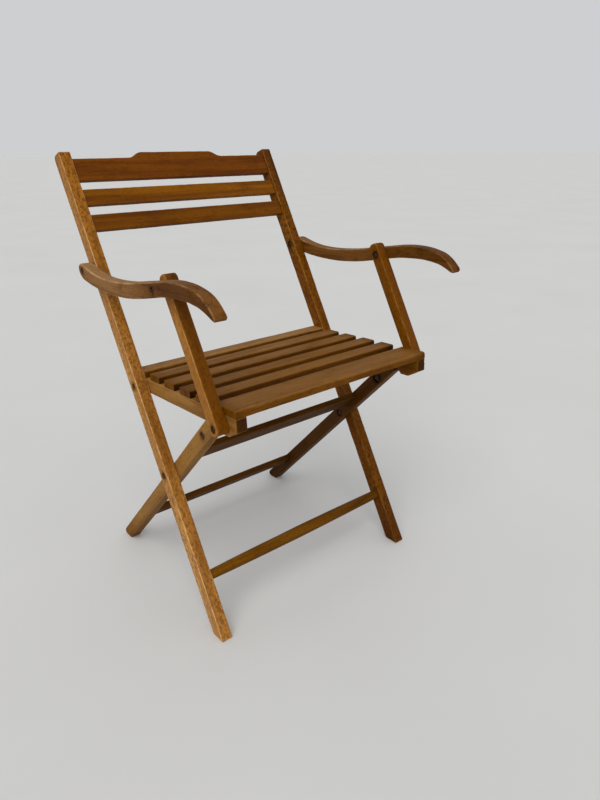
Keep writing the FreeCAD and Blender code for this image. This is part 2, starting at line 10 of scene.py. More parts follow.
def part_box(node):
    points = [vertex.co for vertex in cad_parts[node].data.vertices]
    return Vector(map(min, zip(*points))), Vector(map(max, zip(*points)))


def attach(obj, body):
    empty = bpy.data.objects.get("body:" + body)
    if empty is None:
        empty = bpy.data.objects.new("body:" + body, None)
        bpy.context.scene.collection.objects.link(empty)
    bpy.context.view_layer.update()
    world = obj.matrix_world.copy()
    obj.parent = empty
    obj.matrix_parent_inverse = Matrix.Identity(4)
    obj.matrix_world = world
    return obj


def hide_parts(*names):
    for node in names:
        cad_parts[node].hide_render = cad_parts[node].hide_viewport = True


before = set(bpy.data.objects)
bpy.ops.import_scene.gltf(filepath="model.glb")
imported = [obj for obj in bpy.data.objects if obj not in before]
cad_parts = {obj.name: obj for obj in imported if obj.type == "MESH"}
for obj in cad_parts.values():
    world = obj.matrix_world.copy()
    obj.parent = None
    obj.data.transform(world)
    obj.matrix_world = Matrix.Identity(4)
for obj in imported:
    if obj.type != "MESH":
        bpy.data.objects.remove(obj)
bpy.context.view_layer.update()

scene = bpy.context.scene

# ------------------------------------------------------------------ layout, mm, as in the CAD
LEAN, RAKE, TILT = math.radians(29.48), math.radians(43.70), math.radians(2.86)
cA, sA, cB, sB = math.cos(LEAN), math.sin(LEAN), math.cos(RAKE), math.sin(RAKE)
FOOT = (-202.3, 0.0)
X_STILE, T_STILE, X_RAIL, T_LEG, T_RAIL, T_POST, T_ARM = 233.5, 23.5, 232.8, 24.0, 22.0, 23.5, 24.0
X_ARM = X_STILE + T_STILE + 0.7


def on_stile(v, u=0.0):
    return (FOOT[0] + u * cA + v * sA, -u * sA + v * cA)


def mid_of(node):
    lo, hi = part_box(node)
    return ((lo.y + hi.y) * 500.0, (lo.z + hi.z) * 500.0)


P_CROSS, P_SEAT, P_ARM = mid_of("leg_pivot_bolts"), mid_of("seat_pivot_bolts"), mid_of("arm_pivot_bolts")
P_POST, P_HAND, P_TOP = mid_of("post_pivot_screws"), mid_of("left_hand_bolt"), mid_of("leg_top_bolts")
POST_SPAN = 240.2


def place(y, z, ang, x=0.0):
    c, s = math.cos(ang), math.sin(ang)
    return np.array([[0, 0, 1, x], [c, -s, 0, y], [s, c, 0, z], [0, 0, 0, 1]], float)


def front_place(v):
    y, z = on_stile(v)
    return np.array([[1, 0, 0, 0], [0, sA, -cA, y], [0, cA, sA, z], [0, 0, 0, 1]], float)


# ------------------------------------------------------------------ outlines
def rounded(poly, rad, step=8.0, guard=2.6, arc=4):
    """A closed outline with its corners turned into arcs and its runs divided.
    Each point has a corner weight, 1 in the middle of an arc and 0 along the runs."""
    P = [np.array(p, float) for p in poly]
    n = len(P)
    corners = []
    for i in range(n):
        a, b, c = P[i - 1], P[i], P[(i + 1) % n]
        u, v = (a - b) / np.linalg.norm(a - b), (c - b) / np.linalg.norm(c - b)
        ang = math.acos(float(np.clip(u @ v, -1, 1)))
        r = rad[i] if hasattr(rad, "__len__") else rad
        if r <= 0 or ang > math.radians(177):
            corners.append([(b, 0.0)])
            continue
        t = min(r / math.tan(ang / 2), 0.46 * np.linalg.norm(a - b), 0.46 * np.linalg.norm(c - b))
        r = t * math.tan(ang / 2)
        ctr = b + (u + v) / np.linalg.norm(u + v) * (r / math.sin(ang / 2))
        p0, p1 = b + u * t - ctr, b + v * t - ctr
        a0 = math.atan2(p0[1], p0[0])
        d = (math.atan2(p1[1], p1[0]) - a0 + math.pi) % (2 * math.pi) - math.pi
        k = max(2, round(abs(d) / (math.pi / 2) * arc + (r / 4.0)))
        weight = min(1.0, (math.pi - ang) / 1.2) * (1.0 if r < 6 else 0.35)
        corners.append([(ctr + r * np.array([math.cos(a0 + d * j / k), math.sin(a0 + d * j / k)]),
                         weight * (0.45 + 0.55 * math.sin(math.pi * j / k))) for j in range(k + 1)])
    pts, flags = [], []
    for i in range(n):
        for p, f in corners[i]:
            pts.append(p)
            flags.append(f)
        q0, q1 = corners[i][-1][0], corners[(i + 1) % n][0][0]
        length = float(np.linalg.norm(q1 - q0))
        if length > 2 * guard + 2.0:
            inner = max(1, round((length - 2 * guard) / step))
            ts = [guard + (length - 2 * guard) * j / inner for j in range(inner + 1)]
        else:
            ts = [length * 0.5] if length > 2.0 else []
        for t in ts:
            pts.append(q0 + (q1 - q0) * (t / length))
            flags.append(0.0)
    return np.array(pts), np.array(flags)


def spline(points, step):
    """Natural cubic spline through the points by chord length, divided evenly."""
    P = np.array(points, float)
    t = np.concatenate([[0], np.cumsum(np.linalg.norm(np.diff(P, axis=0), axis=1))])
    n = len(P)
    h = np.diff(t)
    A = np.zeros((n, n))
    B = np.zeros((n, 2))
    A[0, 0] = A[-1, -1] = 1.0
    for i in range(1, n - 1):
        A[i, i - 1], A[i, i], A[i, i + 1] = h[i - 1], 2 * (h[i - 1] + h[i]), h[i]
        B[i] = 6 * ((P[i + 1] - P[i]) / h[i] - (P[i] - P[i - 1]) / h[i - 1])
    M = np.linalg.solve(A, B)
    m = max(2, int(round(t[-1] / step)))
    out = []
    for s in np.linspace(0, t[-1], m + 1):
        i = min(max(int(np.searchsorted(t, s)) - 1, 0), n - 2)
        a, b = t[i + 1] - s, s - t[i]
        out.append(M[i] * a ** 3 / (6 * h[i]) + M[i + 1] * b ** 3 / (6 * h[i])
                   + (P[i] / h[i] - M[i] * h[i] / 6) * a + (P[i + 1] / h[i] - M[i + 1] * h[i] / 6) * b)
    return np.array(out)


def inward(pts):
    """Unit normals to the inside of an anticlockwise outline, and the mitre length at each point."""
    e0 = pts - np.roll(pts, 1, 0)
    e1 = np.roll(pts, -1, 0) - pts
    e0 /= np.maximum(np.linalg.norm(e0, axis=1, keepdims=True), 1e-9)
    e1 /= np.maximum(np.linalg.norm(e1, axis=1, keepdims=True), 1e-9)
    n0, n1 = np.c_[-e0[:, 1], e0[:, 0]], np.c_[-e1[:, 1], e1[:, 0]]
    m = n0 + n1
    m /= np.maximum(np.linalg.norm(m, axis=1, keepdims=True), 1e-9)
    return m / np.clip((m * n0).sum(1), 0.55, 1.0)[:, None]


def inset(pts, d, steps=6):
    """The outline moved inward a little at a time, so that tight arcs close to a point and don't cross."""
    q = pts.copy()
    if d <= 1e-9:
        return q
    for _ in range(steps):
        n = inward(q)
        seg = np.linalg.norm(np.roll(q, -1, 0) - q, axis=1)
        ok = (seg > 0.05) & (np.roll(seg, 1) > 0.05)
        n[~ok] = 0.0
        idx = np.where(ok)[0]
        if len(idx) and not ok.all():
            # points that have closed up take the direction of the chord between their neighbours
            for i in np.where(~ok)[0]:
                a = idx[np.searchsorted(idx, i) - 1]
                b = idx[np.searchsorted(idx, i) % len(idx)]
                ea = q[i] - q[a]
                eb = q[b] - q[i]
                ea /= max(np.linalg.norm(ea), 1e-9)
                eb /= max(np.linalg.norm(eb), 1e-9)
                na, nb = np.array([-ea[1], ea[0]]), np.array([-eb[1], eb[0]])
                m = na + nb
                m /= max(np.linalg.norm(m), 1e-9)
                n[i] = m / max(float(m @ na), 0.55)
        q = q + n * (d / steps)
    return q


def snapped(q, near=0.06):
    """Points closer together than near take one position, so that every ring and cap shares them."""
    last = 0
    for j in range(1, len(q)):
        if np.linalg.norm(q[j] - q[last]) < near:
            q[j] = q[last]
        else:
            last = j
    if last and np.linalg.norm(q[last] - q[0]) < near:
        q[last:] = q[0]
    return q


def inside(poly, p):
    x, y = p[:, 0][:, None], p[:, 1][:, None]
    a, b = poly, np.roll(poly, -1, 0)
    cond = (a[None, :, 1] > y) != (b[None, :, 1] > y)
    dy = b[:, 1] - a[:, 1]
    dy = np.where(np.abs(dy) < 1e-12, 1e-12, dy)
    xs = (b[:, 0] - a[:, 0])[None] * (y - a[None, :, 1]) / dy[None] + a[None, :, 0]
    return (np.logical_and(cond, x < xs).sum(1) % 2) == 1


def away(poly, p):
    a, b = poly, np.roll(poly, -1, 0)
    ab = b - a
    L = np.maximum((ab ** 2).sum(1), 1e-12)
    t = np.clip(((p[:, None] - a[None]) * ab[None]).sum(2) / L[None], 0, 1)
    c = a[None] + t[..., None] * ab[None]
    return np.sqrt(((p[:, None] - c) ** 2).sum(2)).min(1)


# ------------------------------------------------------------------ pieces
MATS = {}
MADE = []


class Builder:
    def __init__(self):
        self.v, self.edge, self.dirt, self.f = [], [], [], []

    def add(self, pts3, edge, dirt=0.0):
        i = len(self.v)
        n = len(pts3)
        self.v += [tuple(map(float, p)) for p in pts3]
        self.edge += list(np.broadcast_to(edge, n))
        self.dirt += list(np.broadcast_to(dirt, n))
        return list(range(i, i + n))

    def bridge(self, a, b):
        n = len(a)
        for i in range(n):
            j = (i + 1) % n
            self.f.append((a[i], a[j], b[j], b[i]))


def cap(B, poly, flag, z, holes, grid, up, r):
    """A flat side with holes: triangles between the outline, the holes' rims and a loose grid."""
    keep = [0]
    for i in range(1, len(poly)):
        if np.linalg.norm(poly[i] - poly[keep[-1]]) > 0.03:
            keep.append(i)
    if np.linalg.norm(poly[keep[-1]] - poly[keep[0]]) <= 0.03:
        keep.pop()
    edge_pts, edge_flag = poly[keep], flag[keep]
    pts = [tuple(p) for p in edge_pts]
    flags = list(edge_flag)
    dirts = [0.0] * len(pts)
    con = [(i, (i + 1) % len(pts)) for i in range(len(pts))]
    # each hole's rim is darkened fully and rings round it less: grime round the mouth, with painted shade where it
    # drops into the bore
    for hx, hy, rr in holes:
        k = 28
        base = len(pts)
        for j in range(k):
            a = 2 * math.pi * j / k
            pts.append((hx + rr * math.cos(a), hy + rr * math.sin(a)))
            flags.append(0.5)
            dirts.append(1.0)
        con += [(base + j, base + (j + 1) % k) for j in range(k)]
    lo, hi = poly.min(0), poly.max(0)
    extra, ef, ed = [], [], []
    guard = inset(edge_pts, 2.2, 3)
    for p in guard:
        extra.append(p); ef.append(0.0); ed.append(0.0)
    for hx, hy, rr in holes:
        for dr, dd in ((1.6, 0.7), (4.0, 0.3), (7.0, 0.0)):
            for j in range(18):
                a = 2 * math.pi * (j + 0.5) / 18
                extra.append(np.array([hx + (rr + dr) * math.cos(a), hy + (rr + dr) * math.sin(a)]))
                ef.append(0.0); ed.append(dd)
    gx = np.arange(lo[0] + grid * 0.4, hi[0], grid)
    gy = np.arange(lo[1] + grid * 0.4, hi[1], grid)
    for i, x in enumerate(gx):
        for j, y in enumerate(gy):
            extra.append(np.array([x + (0.5 * grid if j % 2 else 0.0) * 0.5, y])); ef.append(0.0); ed.append(0.0)
    extra = np.array(extra)
    ef, ed = np.array(ef), np.array(ed)
    ok = inside(edge_pts, extra) & (away(edge_pts, extra) > 1.3)
    for hx, hy, rr in holes:
        ok &= np.hypot(extra[:, 0] - hx, extra[:, 1] - hy) > rr + 1.2
    extra, ef, ed = extra[ok], ef[ok], ed[ok]
    # drop points too near an earlier one
    taken, cells = [], {}
    for i, p in enumerate(extra):
        c = (int(p[0] // 2.4), int(p[1] // 2.4))
        near = False
        for a in (-1, 0, 1):
            for b in (-1, 0, 1):
                for k in cells.get((c[0] + a, c[1] + b), ()):
                    if np.hypot(*(extra[k] - p)) < 1.5:
                        near = True
        if not near:
            taken.append(i)
            cells.setdefault(c, []).append(i)
    pts += [tuple(extra[i]) for i in taken]
    flags += [ef[i] for i in taken]
    dirts += [ed[i] for i in taken]
    out = delaunay_2d_cdt([Vector(p) for p in pts], con, [], 0, 1e-6)
    vs = np.array([tuple(v) for v in out[0]])
    src = [o[0] if o else 0 for o in out[3]]
    tri = np.array([f for f in out[2] if len(f) == 3])
    mid = vs[tri].mean(1)
    ok = inside(edge_pts, mid)
    for hx, hy, rr in holes:
        ok &= np.hypot(mid[:, 0] - hx, mid[:, 1] - hy) > rr * 0.992
    ids = B.add(np.c_[vs, np.full(len(vs), z)], [flags[s] for s in src], [dirts[s] for s in src])
    for t in tri[ok]:
        a, b, c = vs[t]
        ccw = (b[0] - a[0]) * (c[1] - a[1]) - (b[1] - a[1]) * (c[0] - a[0]) > 0
        t = [ids[k] for k in t]
        B.f.append(tuple(t if ccw == up else t[::-1]))


def slab(name, body, slot, node, outline, z0, z1, M, r=2.2, holes=(), grain="y", tone_and_shading=0.0, seed=1, grid=9.0,
         zstep=9.0, wave=0.22, chip=0.8, wear_and_sheen=None, seg=3, mottle=1.0):
    """A wooden piece: the outline, local x and y, carried along local z from z0 to z1, its arrises rounded.
    holes: (x, y, through radius, (bore radius, depth) at z1 or None, the same at z0)."""
    pts, flag = outline
    area = 0.5 * float(np.sum(pts[:, 0] * np.roll(pts[:, 1], -1) - np.roll(pts[:, 0], -1) * pts[:, 1]))
    if area < 0:
        pts, flag = pts[::-1], flag[::-1]
    B = Builder()
    rings = []
    insets = {}
    for i in range(seg + 1):
        a = math.pi / 2 * i / seg
        insets[i] = snapped(inset(pts, r * (1 - math.sin(a))))
    for i in range(seg + 1):
        a = math.pi / 2 * i / seg
        w = np.maximum(flag, 0.35 + 0.65 * math.sin(2 * a) ** 0.7 if 0 < i < seg else 0.35)
        rings.append((insets[i], z1 - r * (1 - math.cos(a)), w))
    g = min(2.6, (z1 - z0 - 2 * r) / 3)
    zs = []
    inner = max(1, round((z1 - z0 - 2 * r - 2 * g) / zstep))
    for k in range(inner + 1):
        zs.append(z1 - r - g - (z1 - z0 - 2 * r - 2 * g) * k / inner)
    for z in zs:
        rings.append((insets[seg], z, flag))
    for i in range(seg, -1, -1):
        a = math.pi / 2 * i / seg
        w = np.maximum(flag, 0.35 + 0.65 * math.sin(2 * a) ** 0.7 if 0 < i < seg else 0.35)
        rings.append((insets[i], z0 + r * (1 - math.cos(a)), w))
    ids = [B.add(np.c_[p, np.full(len(p), z)], w) for p, z, w in rings]
    for a, b in zip(ids, ids[1:]):
        B.bridge(b, a)
    top, bot = [], []
    k = 28
    for hx, hy, rs, t, b in holes:
        c = 0.45
        circ = lambda rr, z: np.array([[hx + rr * math.cos(2 * math.pi * j / k), hy + rr * math.sin(2 * math.pi * j / k), z]
                                       for j in range(k)])
        rt, rb = (t[0] if t else rs), (b[0] if b else rs)
        # the last value of each ring darkens it: full painted shade down the bore walls and counterbores
        prof = [(rt + c, z1, 0.5, 1.0), (rt + 0.12, z1 - 0.2, 0.8, 1.0), (rt, z1 - c - 0.1, 0.3, 1.0)]
        if t:
            prof += [(rt, z1 - t[1] + 0.3, 0, 1), (rt - 0.3, z1 - t[1], 0, 1), (rs, z1 - t[1], 0, 1)]
        if b:
            prof += [(rs, z0 + b[1], 0, 1), (rb - 0.3, z0 + b[1], 0, 1), (rb, z0 + b[1] - 0.3, 0, 1)]
        prof += [(rb, z0 + c + 0.1, 0.3, 1), (rb + 0.12, z0 + 0.2, 0.8, 1), (rb + c, z0, 0.5, 1.0)]
        hid = [B.add(circ(rr, z), e, d) for rr, z, e, d in prof]
        for p, q in zip(hid, hid[1:]):
            B.bridge(p, q)
        top.append((hx, hy, rt + c))
        bot.append((hx, hy, rb + c))
    cap(B, insets[0], np.maximum(flag, 0.35), z1, top, grid, True, r)
    cap(B, insets[0], np.maximum(flag, 0.35), z0, bot, grid, False, r)
    return finish_piece(B, name, body, slot, node, M, grain, tone_and_shading, seed, wave, chip, wear_and_sheen, mottle)


def finish_piece(B, name, body, slot, node, M, grain, tone_and_shading, seed, wave=0.2, chip=0.8, wear_and_sheen=None, mottle=1.0):
    me = bpy.data.meshes.new(name)
    bm = bmesh.new()
    le = bm.verts.layers.float.new("edge")
    ld = bm.verts.layers.float.new("dirt")
    lg = bm.verts.layers.float_vector.new("gc")
    ll = bm.verts.layers.float_vector.new("loc")
    made = []
    for p, e, d in zip(B.v, B.edge, B.dirt):
        v = bm.verts.new(p)
        v[le], v[ld] = e, d
        v[ll] = Vector(p)
        made.append(v)
    for f in B.f:
        u = []
        for i in f:
            if made[i] not in u:
                u.append(made[i])
        if len(u) > 2:
            try:
                bm.faces.new(u)
            except ValueError:
                pass
    bmesh.ops.remove_doubles(bm, verts=bm.verts, dist=0.035)
    bmesh.ops.dissolve_degenerate(bm, edges=bm.edges, dist=0.004)
    bmesh.ops.recalc_face_normals(bm, faces=bm.faces)
    bm.normal_update()
    off = Vector((seed * 0.731 % 3.0, seed * 1.377 % 5.0, seed * 2.113 % 4.0))
    R = np.array(M)
    for v in bm.verts:
        p = v[ll]
        x, y, z = p
        if grain == "y":
            gc = Vector((x, y, z))
        elif grain == "z":
            gc = Vector((x, z, y))
        else:
            gc = Vector((y, x, z))
        v[lg] = gc * 0.001 + off
        w = v[le]
        q = gc + off * 37.0
        d = wave * noise.noise(Vector((q.x / 26, q.y / 90, q.z / 26)))
        if w > 0.3:
            n1 = noise.noise(Vector((q.x / 7, q.y / 17, q.z / 7)) + Vector((seed, 0, 0)))
            n2 = noise.noise(Vector((q.x / 3, q.y / 5, q.z / 3)) + Vector((0, seed, 0)))
            d -= (w - 0.3) * chip * (max(0.0, n1 - 0.08) * 1.5 + max(0.0, n2 - 0.3) * 1.2)
        v.co = v.co + v.normal * d
    T = Matrix([[*map(float, row)] for row in R])
    S = Matrix.Scale(0.001, 4)
    bm.transform(S @ T)
    open_edges = [e for e in bm.edges if len(e.link_faces) != 2]
    if open_edges:
        print("OPEN", name, len(open_edges))
    bm.to_mesh(me)
    bm.free()
    for p in me.polygons:
        p.use_smooth = True
    me.set_sharp_from_angle(angle=math.radians(42))
    if "loc" in me.attributes:
        me.attributes.remove(me.attributes["loc"])
    tn = me.attributes.new("tone_and_shading", "FLOAT", "POINT")
    nrm = np.array([v.normal[:] for v in me.vertices])
    co = np.array([v.co[:] for v in me.vertices])
    tones = tone_and_shading(co, nrm) if callable(tone_and_shading) else np.full(len(me.vertices), tone_and_shading)
    tn.data.foreach_set("value", tones.astype(np.float32))
    mo = me.attributes.new("mottle", "FLOAT", "POINT")
    mo.data.foreach_set("value", np.full(len(me.vertices), mottle, np.float32))
    wr = me.attributes.new("wear_and_sheen", "FLOAT", "POINT")
    vals = np.zeros(len(me.vertices), np.float32)
    if wear_and_sheen is not None:
        vals = np.clip(wear_and_sheen(co, nrm), 0, 1).astype(np.float32)
    wr.data.foreach_set("value", vals)
    ob = bpy.data.objects.new(name, me)
    scene.collection.objects.link(ob)
    me.materials.append(MATS[slot])
    wn = ob.modifiers.new("even_normals", "WEIGHTED_NORMAL")
    wn.keep_sharp = True
    wn.weight = 60
    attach(ob, body)
    if node:
        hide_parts(*([node] if isinstance(node, str) else node))
    MADE.append((ob, node))
    return ob


# ------------------------------------------------------------------ materials
def nodes_of(name):
    m = bpy.data.materials.new(name)
    m.use_nodes = True
    nt = m.node_tree
    nt.nodes.clear()
    return m, nt


def wood(slot, dark, mid, light, wear_and_sheen, fleck=0.5, fleck_col=None, blot=0.45, streak=0.6, rough=(0.36, 0.56),
         coat=0.10, bump=0.55, edge_gain=1.0, wear_and_sheen_gain=0.6, fscale=(520, 95, 360), fcut=(0.52, 0.66)):
    m, nt = nodes_of(slot + "_look")
    N, L = nt.nodes.new, nt.links.new

    def attr(a):
        n = N("ShaderNodeAttribute")
        n.attribute_name = a
        return n

    def noise_tex(vec, scale, detail, rgh=0.5, dist=0.0):
        mp = N("ShaderNodeMapping")
        mp.inputs["Scale"].default_value = scale
        L(vec, mp.inputs["Vector"])
        n = N("ShaderNodeTexNoise")
        n.inputs["Scale"].default_value = 1.0
        n.inputs["Detail"].default_value = detail
        n.inputs["Roughness"].default_value = rgh
        n.inputs["Distortion"].default_value = dist
        L(mp.outputs[0], n.inputs["Vector"])
        return n.outputs["Fac"]

    def mth(op, a, b=None, clamp=False):
        n = N("ShaderNodeMath")
        n.operation = op
        n.use_clamp = clamp
        for i, x in enumerate((a, b)):
            if x is None:
                continue
            if isinstance(x, (int, float)):
                n.inputs[i].default_value = x
            else:
                L(x, n.inputs[i])
        return n.outputs[0]

    def rng(x, a, b, c=0.0, d=1.0):
        n = N("ShaderNodeMapRange")
        n.clamp = True
        n.interpolation_type = "SMOOTHSTEP"
        n.inputs["From Min"].default_value = a
        n.inputs["From Max"].default_value = b
        n.inputs["To Min"].default_value = c
        n.inputs["To Max"].default_value = d
        L(x, n.inputs["Value"])
        return n.outputs[0]

    def mix(f, a, b, how="MIX"):
        n = N("ShaderNodeMix")
        n.data_type = "RGBA"
        n.blend_type = how
        n.clamp_factor = True
        if isinstance(f, (int, float)):
            n.inputs["Factor"].default_value = f
        else:
            L(f, n.inputs["Factor"])
        for k, x in (("A", a), ("B", b)):
            s = [i for i in n.inputs if i.name == k and i.type == "RGBA"][0]
            if isinstance(x, (tuple, list)):
                s.default_value = (*x, 1.0)
            else:
                L(x, s)
        return [o for o in n.outputs if o.type == "RGBA"][0]

    gc = attr("gc").outputs["Vector"]
    edge = attr("edge").outputs["Fac"]
    dirt = attr("dirt").outputs["Fac"]
    tone_and_shading = attr("tone_and_shading").outputs["Fac"]
    wear_and_sheen_mask = attr("wear_and_sheen").outputs["Fac"]
    # slow wander of the grain
    wander = N("ShaderNodeTexNoise")
    wander.inputs["Scale"].default_value = 1.0
    wander.inputs["Detail"].default_value = 1.0
    mpw = N("ShaderNodeMapping")
    mpw.inputs["Scale"].default_value = (9, 3.2, 9)
    L(gc, mpw.inputs["Vector"])
    L(mpw.outputs[0], wander.inputs["Vector"])
    va = N("ShaderNodeVectorMath")
    va.operation = "MULTIPLY_ADD"
    L(wander.outputs["Color"], va.inputs[0])
    va.inputs[1].default_value = (0.012, 0.0, 0.012)
    L(gc, va.inputs[2])
    gv = va.outputs[0]

    broad = noise_tex(gv, (26, 3.4, 26), 3, 0.55)
    streaks = noise_tex(gv, (330, 5.5, 330), 4, 0.62)
    bands = noise_tex(gv, (95, 2.4, 60), 2, 0.5)
    flecks = noise_tex(gv, fscale, 4, 0.72, 0.4)
    pores = noise_tex(gv, (1500, 130, 1500), 2, 0.5)
    blots = noise_tex(gc, (34, 16, 34), 5, 0.68)
    fine = noise_tex(gc, (150, 60, 150), 4, 0.65)
    wearn = noise_tex(gc, (120, 34, 120), 5, 0.7)

    g = mth("ADD", mth("MULTIPLY", broad, 1.0 - 0.5 * streak), mth("ADD", mth("MULTIPLY", streaks, 0.34 * streak), mth("MULTIPLY", bands, 0.5 * streak)))
    ramp = N("ShaderNodeValToRGB")
    ramp.color_ramp.interpolation = "EASE"
    e = ramp.color_ramp.elements
    e[0].position, e[0].color = 0.36, (*dark, 1)
    e[1].position, e[1].color = 0.72, (*light, 1)
    x = e.new(0.53)
    x.color = (*mid, 1)
    L(g, ramp.inputs["Fac"])
    col = ramp.outputs["Color"]
    fl = rng(flecks, fcut[0], fcut[1], 0.0, fleck)
    fl = mth("MULTIPLY", fl, mth("MULTIPLY", attr("mottle").outputs["Fac"], rng(broad, 0.30, 0.6, 0.6, 1.0)))
    col = mix(fl, col, fleck_col or tuple(c * 0.42 for c in dark))
    pr = rng(pores, 0.60, 0.74, 0.0, 0.45)
    col = mix(pr, col, tuple(c * 0.45 for c in dark))
    st = rng(blots, 0.52, 0.74, 0.0, blot)
    col = mix(st, col, (dark[0] * 0.5, dark[1] * 0.42, dark[2] * 0.4))
    # rubbed places lose the varnish's colour; on the outward faces of the stiles and arm posts the same paler colour is
    # a painted sheen
    wf = mth("MULTIPLY", wear_and_sheen_mask, rng(fine, 0.30, 0.62, 0.25, wear_and_sheen_gain))
    col = mix(wf, col, wear_and_sheen)
    ew = mth("MULTIPLY", rng(edge, 0.35, 0.95), rng(wearn, 0.42, 0.60, 0.12, 0.85 * edge_gain))
    col = mix(ew, col, tuple(min(1.0, c * 1.35 + 0.02) for c in wear_and_sheen))
    # darkening towards near-black at the bolt holes: painted shade down the bores, and grime round their mouths
    dn = mth("MULTIPLY", dirt, rng(fine, 0.2, 0.7, 0.85, 0.45))
    col = mix(dn, col, (0.030, 0.014, 0.005))
    # each piece's depth of colour: partly the wood's own, partly painted light and shade, with the left stile and the
    # left post's key-facing faces paler and the slats' gap-facing faces darker
    hsv = N("ShaderNodeHueSaturation")
    L(col, hsv.inputs["Color"])
    L(mth("ADD", mth("MULTIPLY", tone_and_shading, 1.0), 1.0), hsv.inputs["Value"])
    L(mth("SUBTRACT", 1.0, mth("MULTIPLY", tone_and_shading, 0.22)), hsv.inputs["Saturation"])
    L(mth("ADD", 0.497, mth("MULTIPLY", tone_and_shading, 0.016)), hsv.inputs["Hue"])
    col = hsv.outputs["Color"]

    b = N("ShaderNodeBsdfPrincipled")
    L(col, b.inputs["Base Color"])
    rr = mth("ADD", rng(blots, 0.35, 0.7, rough[0], rough[1]), mth("MULTIPLY", mth("ADD", ew, wf), 0.16), True)
    L(rr, b.inputs["Roughness"])
    b.inputs["Specular IOR Level"].default_value = 0.07
    b.inputs["Coat Weight"].default_value = coat
    b.inputs["Coat Roughness"].default_value = 0.32
    hgt = mth("ADD", mth("MULTIPLY", streaks, 0.55), mth("MULTIPLY", pores, -0.35))
    hgt = mth("ADD", hgt, mth("MULTIPLY", fl, -0.25))
    hgt = mth("ADD", hgt, mth("MULTIPLY", fine, 0.6))
    bp = N("ShaderNodeBump")
    bp.inputs["Strength"].default_value = bump
    bp.inputs["Distance"].default_value = 0.0007
    L(hgt, bp.inputs["Height"])
    L(bp.outputs[0], b.inputs["Normal"])
    out = N("ShaderNodeOutputMaterial")
    L(b.outputs[0], out.inputs["Surface"])
    MATS[slot] = m
    return m


def steel(name, base=(0.030, 0.016, 0.008), rust=(0.070, 0.032, 0.012), metal=0.15, rough=(0.50, 0.78)):
    m, nt = nodes_of(name)
    N, L = nt.nodes.new, nt.links.new
    tc = N("ShaderNodeTexCoord")

    def tex(scale, detail):
        n = N("ShaderNodeTexNoise")
        n.inputs["Scale"].default_value = scale
        n.inputs["Detail"].default_value = detail
        n.inputs["Roughness"].default_value = 0.65
        L(tc.outputs["Object"], n.inputs["Vector"])
        return n.outputs["Fac"]

    big, small = tex(260, 4), tex(1500, 3)
    r = N("ShaderNodeValToRGB")
    r.color_ramp.elements[0].position, r.color_ramp.elements[0].color = 0.42, (*base, 1)
    r.color_ramp.elements[1].position, r.color_ramp.elements[1].color = 0.64, (*rust, 1)
    L(big, r.inputs["Fac"])
    b = N("ShaderNodeBsdfPrincipled")
    L(r.outputs["Color"], b.inputs["Base Color"])
    b.inputs["Metallic"].default_value = metal
    b.inputs["Specular IOR Level"].default_value = 0.25
    mr = N("ShaderNodeMapRange")
    mr.inputs["From Min"].default_value, mr.inputs["From Max"].default_value = 0.3, 0.7
    mr.inputs["To Min"].default_value, mr.inputs["To Max"].default_value = rough
    L(big, mr.inputs["Value"])
    L(mr.outputs[0], b.inputs["Roughness"])
    bp = N("ShaderNodeBump")
    bp.inputs["Strength"].default_value = 0.5
    bp.inputs["Distance"].default_value = 0.0003
    L(small, bp.inputs["Height"])
    L(bp.outputs[0], b.inputs["Normal"])
    out = N("ShaderNodeOutputMaterial")
    L(b.outputs[0], out.inputs["Surface"])
    return m


wood("stile_wood", (0.200, 0.074, 0.006), (0.375, 0.155, 0.020), (0.520, 0.250, 0.046), (0.56, 0.34, 0.14),
     fleck=0.85, fleck_col=(0.120, 0.042, 0.004), blot=0.25, streak=0.30, edge_gain=0.6, rough=(0.50, 0.66), coat=0.0,
     fscale=(230, 140, 230), fcut=(0.47, 0.58))
wood("crest_wood", (0.062, 0.014, 0.001), (0.136, 0.038, 0.001), (0.215, 0.070, 0.004), (0.28, 0.12, 0.03), fleck=0.45, blot=0.35, streak=0.75,
     edge_gain=0.3, rough=(0.46, 0.62), coat=0.0)
wood("back_wood", (0.075, 0.020, 0.001), (0.160, 0.052, 0.001), (0.255, 0.095, 0.005), (0.30, 0.14, 0.04), fleck=0.45, blot=0.40, streak=0.75,
     edge_gain=0.3, rough=(0.46, 0.62), coat=0.0)
wood("leg_wood", (0.085, 0.034, 0.003), (0.180, 0.078, 0.009), (0.275, 0.130, 0.022), (0.32, 0.19, 0.08), fleck=0.50, blot=0.40,
     edge_gain=0.3, rough=(0.50, 0.66), coat=0.0)
wood("rail_wood", (0.095, 0.036, 0.004), (0.190, 0.080, 0.009), (0.290, 0.135, 0.024), (0.34, 0.20, 0.08), fleck=0.45, blot=0.40,
     edge_gain=0.3, rough=(0.50, 0.66), coat=0.0)
wood("seat_wood", (0.060, 0.020, 0.002), (0.150, 0.060, 0.007), (0.245, 0.108, 0.018), (0.235, 0.115, 0.028), fleck=0.55, blot=0.60,
     wear_and_sheen_gain=0.50, edge_gain=0.45, rough=(0.48, 0.66), coat=0.0, streak=0.8)
wood("arm_wood", (0.050, 0.019, 0.003), (0.145, 0.060, 0.013), (0.245, 0.115, 0.030), (0.36, 0.22, 0.10), fleck=0.50, blot=0.65,
     edge_gain=0.9, rough=(0.50, 0.66), coat=0.0, streak=0.85)
MATS["dark_steel"] = steel("dark_steel_look")

# ------------------------------------------------------------------ wooden pieces
SIDES = (("left", -1), ("right", 1))
# The left stile is made paler than the right: partly the wood's own colour, partly painted light from the key on the
# left.
PIECE_TONE_AND_SHADING = {"left_stile": 0.06, "right_stile": -0.50, "crest_rail": -0.20, "back_slat_upper": -0.08, "back_slat_lower": -0.34}


